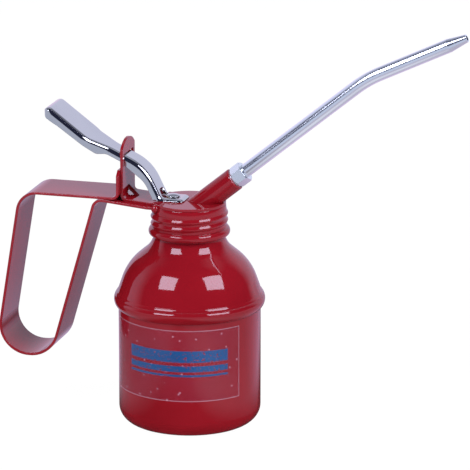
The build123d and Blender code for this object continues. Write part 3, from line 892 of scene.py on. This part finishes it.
@dataclass
class CapSkin:
    """Screw cap with its thread rolled as one helix, in place of the plain ridges."""

    inner: float = 0.01862
    valley: float = 0.0192
    ridge: float = 0.00072
    rim: float = 0.0189
    hem: float = 0.0210
    low: float = 0.0994
    hem_height: float = 0.0042
    top: float = 0.1158
    under: float = 0.1150
    pitch: float = 0.0037
    thread_top: float = 0.1126
    phase: float = 0.00169
    around: int = 192
    wall_rows: int = 44
    hem_rows: int = 12
    hem_fullness: float = 0.8
    hem_sink: float = 0.0002
    ridge_sharpness: float = 1.25
    run_out: float = 0.0009
    edge_round: float = 0.0004
    plain_band: float = 0.0012
    corner: float = 0.0002
    inner_step: float = 0.0005

    def profile(self, angle: float) -> list[tuple[float, float]]:
        """Radius and height round the wall at one angle, from the hem's mouth out, up, in and down.

        Args:
            angle: Angle round the cap in radians.

        Returns:
            The closed profile.
        """
        mouth = self.valley - self.hem_sink
        points = [(mouth, self.low)]
        for step in range(1, self.hem_rows):
            turn = pi * (step / self.hem_rows - 0.5)
            height = self.low + self.hem_height * (0.5 + 0.5 * sin(turn))
            points.append((mouth + (self.hem - mouth) * cos(turn) ** self.hem_fullness, height))
        start = self.low + self.hem_height
        points.append((mouth, start))
        for step in range(1, self.wall_rows + 1):
            height = start + (self.thread_top + self.edge_round - start) * step / self.wall_rows
            wave = 0.5 - 0.5 * cos(2 * pi * ((height - self.phase) / self.pitch - angle / (2 * pi)))
            foot = min(1.0, (height - start) / self.run_out)
            fade = foot * min(1.0, max(0.0, (self.thread_top - height) / self.run_out))
            points.append((self.valley + self.ridge * wave**self.ridge_sharpness * fade, height))
        points.append((self.rim + self.corner / 2, self.thread_top + self.plain_band))
        points.append((self.rim, self.top - self.edge_round))
        points.append((self.rim - self.corner, self.top))
        points.append((0.0, self.top))
        points.append((0.0, self.under))
        points.append((self.inner - self.edge_round, self.under))
        points.append((self.inner, self.under - self.inner_step))
        points.append((self.inner, self.low + self.edge_round))
        return points

    def build(self, finishes: Finishes) -> bpy.types.Object:
        """Lay the profile round the axis.

        Args:
            finishes: The can's materials.

        Returns:
            The cap.
        """
        points: list[tuple[float, float, float]] = []
        faces: list[tuple[int, ...]] = []
        rows = len(self.profile(0.0))
        for turn in range(self.around):
            angle = 2 * pi * turn / self.around
            points += [(r * cos(angle), r * sin(angle), z) for r, z in self.profile(angle)]
        for turn in range(self.around):
            here, there = turn * rows, ((turn + 1) % self.around) * rows
            for row in range(rows):
                up = (row + 1) % rows
                faces.append((here + row, there + row, there + up, here + up))
        cap = add_mesh("cap_skin", points, faces)
        face_outwards(cap)
        cap.data.materials.append(finishes.enamel)
        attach(cap, "top")
        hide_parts("screw_cap")
        return cap


@dataclass
class NeckThread:
    """Low rolled thread on the can's neck, hidden in the cap until it is lifted."""

    radius: float = 0.01818
    proud: float = 0.00030
    low: float = 0.1025
    high: float = 0.1110
    pitch: float = 0.0037
    steps_per_turn: int = 64
    bead_sides: int = 10

    def build(self, finishes: Finishes) -> bpy.types.Object:
        """Sweep a small bead along a helix.

        Args:
            finishes: The can's materials.

        Returns:
            The thread.
        """
        tree = Sockets("neck_thread")
        turns = (self.high - self.low) / self.pitch
        radius = tree.size("Radius", self.radius)
        bead = tree.size("Bead", self.proud)
        height = tree.size("Height", self.high - self.low)
        count = tree.size("Turns", turns)
        low = tree.size("Low", self.low)
        detail = tree.size("Steps per turn", self.steps_per_turn, whole=True)
        spiral = tree.node(
            "GeometryNodeCurveSpiral",
            {},
            {
                "Resolution": detail,
                "Rotations": count,
                "Start Radius": radius,
                "End Radius": radius,
                "Height": height,
            },
        )
        lift = tree.node("ShaderNodeCombineXYZ", {}, {"Z": low})
        placed = tree.node(
            "GeometryNodeTransform", {}, {"Geometry": spiral.outputs[0], "Translation": lift.outputs[0]}
        )
        ring = tree.node(
            "GeometryNodeCurvePrimitiveCircle", {}, {"Resolution": self.bead_sides, "Radius": bead}
        )
        swept = tree.node(
            "GeometryNodeCurveToMesh",
            {},
            {"Curve": placed.outputs[0], "Profile Curve": ring.outputs[0], "Fill Caps": True},
        )
        thread = tree.build("neck_thread", swept.outputs[0], finishes.enamel)
        face_outwards(thread)
        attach(thread, "can")
        return thread


@dataclass
class Label:
    """Clear film stuck on the cup."""

    film: LabelFilm = field(default_factory=LabelFilm)
    columns: int = 96
    rows: int = 30

    def build(self, finishes: Finishes) -> bpy.types.Object:
        """Bend a thin sheet round the cup.

        Args:
            finishes: The can's materials.

        Returns:
            The film.
        """
        points = []
        for column in range(self.columns + 1):
            angle = self.film.start + (self.film.end - self.film.start) * column / self.columns
            for row in range(self.rows + 1):
                height = self.film.low + (self.film.high - self.film.low) * row / self.rows
                points.append((self.film.radius * cos(angle), self.film.radius * sin(angle), height))
        stride = self.rows + 1
        faces = [
            (corner, corner + stride, corner + stride + 1, corner + 1)
            for column in range(self.columns)
            for corner in range(column * stride, column * stride + self.rows)
        ]
        label = add_mesh("label_film", points, faces)
        label.data.materials.append(finishes.film)
        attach(label, "can")
        return label


# ---------------------------------------------------------------------------- studio


@dataclass(frozen=True)
class SoftBox:
    """One square lamp, aimed at the can."""

    name: str
    azimuth: float
    elevation: float
    distance: float
    width: float
    height: float
    power: float
    roll: float
    tint: Colour = (0.76, 0.80, 1.0)

    def place(self, target: Vector) -> bpy.types.Object:
        """Put the lamp up.

        Args:
            target: The point that it faces.

        Returns:
            The lamp.
        """
        lamp = bpy.data.lights.new(self.name, "AREA")
        lamp.shape = "RECTANGLE"
        lamp.size = self.width
        lamp.size_y = self.height
        lamp.energy = self.power
        lamp.color = self.tint
        stand = bpy.data.objects.new(self.name, lamp)
        bpy.context.scene.collection.objects.link(stand)
        away = Vector(
            (
                sin(radians(self.azimuth)) * cos(radians(self.elevation)),
                -cos(radians(self.azimuth)) * cos(radians(self.elevation)),
                sin(radians(self.elevation)),
            )
        )
        stand.location = target + away * self.distance
        facing = (target - stand.location).to_track_quat("-Z", "Y")
        stand.rotation_euler = (facing @ Quaternion((0.0, 0.0, 1.0), radians(self.roll))).to_euler()
        return stand


@dataclass
class Studio:
    """White floor, soft lamps and the camera."""

    target: Vector = field(default_factory=lambda: Vector((0.0243, 0.0, 0.10046)))
    camera_azimuth: float = 15.5
    camera_elevation: float = 15.5
    camera_distance: float = 2.048
    view_width: float = 0.24064
    ambient: float = 0.22
    ambient_behind: float = 0.42
    backdrop: Colour = (0.72, 0.76, 0.99)
    horizon: Colour = (0.88, 0.74, 1.0)
    gloom: Colour = (0.018, 0.021, 0.052)
    ceiling: Colour = (0.52, 0.57, 0.70)
    table: Colour = (0.48, 0.46, 0.57)
    # Painted shadow: floor colour round the can, seen only in reflections.
    painted_shadow_near_can: Colour = (0.05, 0.05, 0.06)
    table_behind: Colour = (0.81, 0.63, 0.95)
    table_far: Colour = (0.52, 0.58, 0.74)
    # Painted pool of light on the floor by the spout, seen only in reflections.
    painted_light_under_spout: Colour = (0.86, 0.90, 1.0)
    wall_lean: float = 0.6
    wall_side: Ramp = (0.15, 0.50)
    wall_top: Ramp = (0.42, 0.80)
    wall_fade: float = 0.85
    horizon_top: Ramp = (0.20, 0.36)
    horizon_side: Ramp = (-0.2, 0.1)
    ceiling_edge: Ramp = (0.72, 0.92)
    ceiling_front: Ramp = (0.0, 0.25)
    table_end: Ramp = (0.0, 0.08)
    level_back: Ramp = (0.1, 0.7)
    floor_half: float = 4.0
    floor_drop: float = 0.0002
    near_edge: Ramp = (0.14, 0.24)
    near_stretch: Ramp = (3.0, 0.8)
    far_edge: Ramp = (0.30, 0.45)
    rear_edge: Ramp = (0.3, 0.8)
    spout_foot: Ramp = (0.13, -0.15)
    spout_fall: Ramp = (0.16, 0.50)
    bright_spot: Ramp = (0.11, -0.11)
    bright_edge: Ramp = (0.04, 0.12)
    paper: float = 0.93
    floor_glow: float = 1.03
    floor_seen: float = 0.96
    floor_bounce: float = 0.14
    lamps: tuple[SoftBox, ...] = (
        SoftBox(
            name="box_left",
            azimuth=-31.0,
            elevation=39.0,
            distance=0.95,
            width=0.44,
            height=0.46,
            power=6.3,
            roll=12.0,
        ),
        SoftBox(
            name="box_right",
            azimuth=67.2,
            elevation=39.5,
            distance=0.95,
            width=0.51,
            height=0.49,
            power=7.8,
            roll=-14.0,
        ),
    )

    def build_camera(self) -> None:
        """Stand the camera at the viewing angle."""
        lens = bpy.data.cameras.new("camera")
        lens.sensor_width = 36.0
        lens.lens = 36.0 * self.camera_distance / self.view_width
        camera = bpy.data.objects.new("camera", lens)
        bpy.context.scene.collection.objects.link(camera)
        turn, rise = radians(self.camera_azimuth), radians(self.camera_elevation)
        away = Vector((sin(turn) * cos(rise), -cos(turn) * cos(rise), sin(rise)))
        camera.location = self.target + away * self.camera_distance
        camera.rotation_euler = (self.target - camera.location).to_track_quat("-Z", "Y").to_euler()
        bpy.context.scene.camera = camera

    def build_world(self) -> None:
        """White for the camera, a dim even level for diffuse light, and a backdrop to mirror."""
        world = bpy.data.worlds.new("studio")
        bpy.context.scene.world = world
        world.use_nodes = True
        sheet = Sheet(world.node_tree, "ShaderNodeOutputWorld")
        split = sheet.node(
            "ShaderNodeSeparateXYZ", {}, {0: sheet.wire(sheet.node("ShaderNodeTexCoord"), "Generated")}
        )
        across, back, up = (sheet.wire(split, axis) for axis in "XYZ")
        behind = (back - across * self.wall_lean).step(*self.wall_side)
        low = 1.0 - up.step(*self.wall_top) * self.wall_fade
        overhead = up.step(*self.ceiling_edge) * back.step(*self.ceiling_front)
        room = sheet.mix(overhead, self.gloom, self.ceiling)
        room = sheet.mix(up.step(*self.table_end), self.table_far, room)
        plain_wall = up.step(*self.horizon_top) + across.step(*self.horizon_side)
        wall = sheet.mix(plain_wall, self.horizon, self.backdrop)
        mirrored = sheet.mix(behind * low, room, wall)
        level = sheet.mix(back.step(*self.level_back), (self.ambient,) * 3, (self.ambient_behind,) * 3)
        plain = sheet.mix(sheet.ray("Camera", "Transmission"), level, (1.0, 1.0, 1.0))
        colour = sheet.mix(sheet.ray("Glossy"), plain, mirrored)
        light = sheet.node("ShaderNodeBackground", {}, {"Color": colour, "Strength": 1.0})
        sheet.fill(sheet.output.inputs["Surface"], light.outputs[0])

    def build_floor(self) -> None:
        """Plain white floor that keeps a faint shadow, and shows glossy rays a painted shadow round the can
        and a painted pool of light by the spout.
        """
        half, level = self.floor_half, -self.floor_drop
        corners = [(-half, -half, level), (half, -half, level), (half, half, level), (-half, half, level)]
        floor = add_mesh("floor", corners, [(0, 1, 2, 3)])
        r = Recipe("floor_paper")
        split = r.node("ShaderNodeSeparateXYZ", {}, {0: r.place})
        across, back = r.wire(split, "X"), r.wire(split, "Y")
        away = (across**2 + back**2) ** 0.5
        behind = (back / (away + 0.001)).step(*self.rear_edge)
        clear_of_can = ((across * self.near_stretch[0]) ** 2 + (back * self.near_stretch[1]) ** 2) ** 0.5
        by_spout = ((across - self.spout_foot[0]) ** 2 + (back - self.spout_foot[1]) ** 2) ** 0.5
        # Painted shadow for reflections: the floor goes dark round the can and dims further away from the
        # spout's foot.
        lit = clear_of_can.step(*self.near_edge) * (1.0 - by_spout.step(*self.spout_fall) * 0.6)
        # Painted light for reflections: a bright spot on the floor near the spout's foot.
        sideways = (across - self.bright_spot[0]) * 1.7
        by_spot = (sideways**2 + (back - self.bright_spot[1]) ** 2) ** 0.5
        shade = r.mix(lit, self.painted_shadow_near_can, self.table)
        shade = r.mix((1.0 - by_spot.step(*self.bright_edge)) * 0.6, shade, self.painted_light_under_spout)
        shade = r.mix(away.step(*self.far_edge), shade, self.table_far)
        shade = r.mix(behind * lit, shade, self.table_behind)
        mirrored = r.ray("Glossy")
        plain = r.node("ShaderNodeBsdfDiffuse", {}, {"Color": (self.paper,) * 3})
        glow = r.node(
            "ShaderNodeEmission",
            {},
            {"Color": r.mix(mirrored, (1.0, 1.0, 1.0), shade), "Strength": self.floor_glow},
        )
        seen = (r.ray("Camera", "Transmission") * self.floor_seen).math("MAXIMUM", mirrored)
        seen = seen.math("MAXIMUM", r.ray("Diffuse") * self.floor_bounce)
        share = r.node("ShaderNodeMixShader", {}, {0: seen, 1: plain.outputs[0], 2: glow.outputs[0]})
        below = r.wire(r.node("ShaderNodeNewGeometry"), "Backfacing")
        clear = r.node("ShaderNodeBsdfTransparent")
        whole = r.node("ShaderNodeMixShader", {}, {0: below, 1: share.outputs[0], 2: clear.outputs[0]})
        r.fill(r.output.inputs["Surface"], whole.outputs[0])
        floor.data.materials.append(r.material)

    def build(self) -> None:
        """Set up everything round the can."""
        bpy.context.scene.view_settings.view_transform = "Standard"
        self.build_world()
        self.build_floor()
        self.build_camera()
        for lamp in self.lamps:
            lamp.place(self.target)


def main() -> None:
    """Build the dressed can and its studio."""
    logging.basicConfig(level=logging.INFO, format="%(name)s %(message)s")
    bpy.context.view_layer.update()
    finishes = Finishes()
    log.info("dressed %d CAD nodes", finishes.dress())
    for part in (CapSkin(), NeckThread(), Label()):
        piece = part.build(finishes)
        log.info("%s: %d faces", piece.name, len(piece.data.polygons))
    Studio().build()


if __name__ == "__main__":
    main()
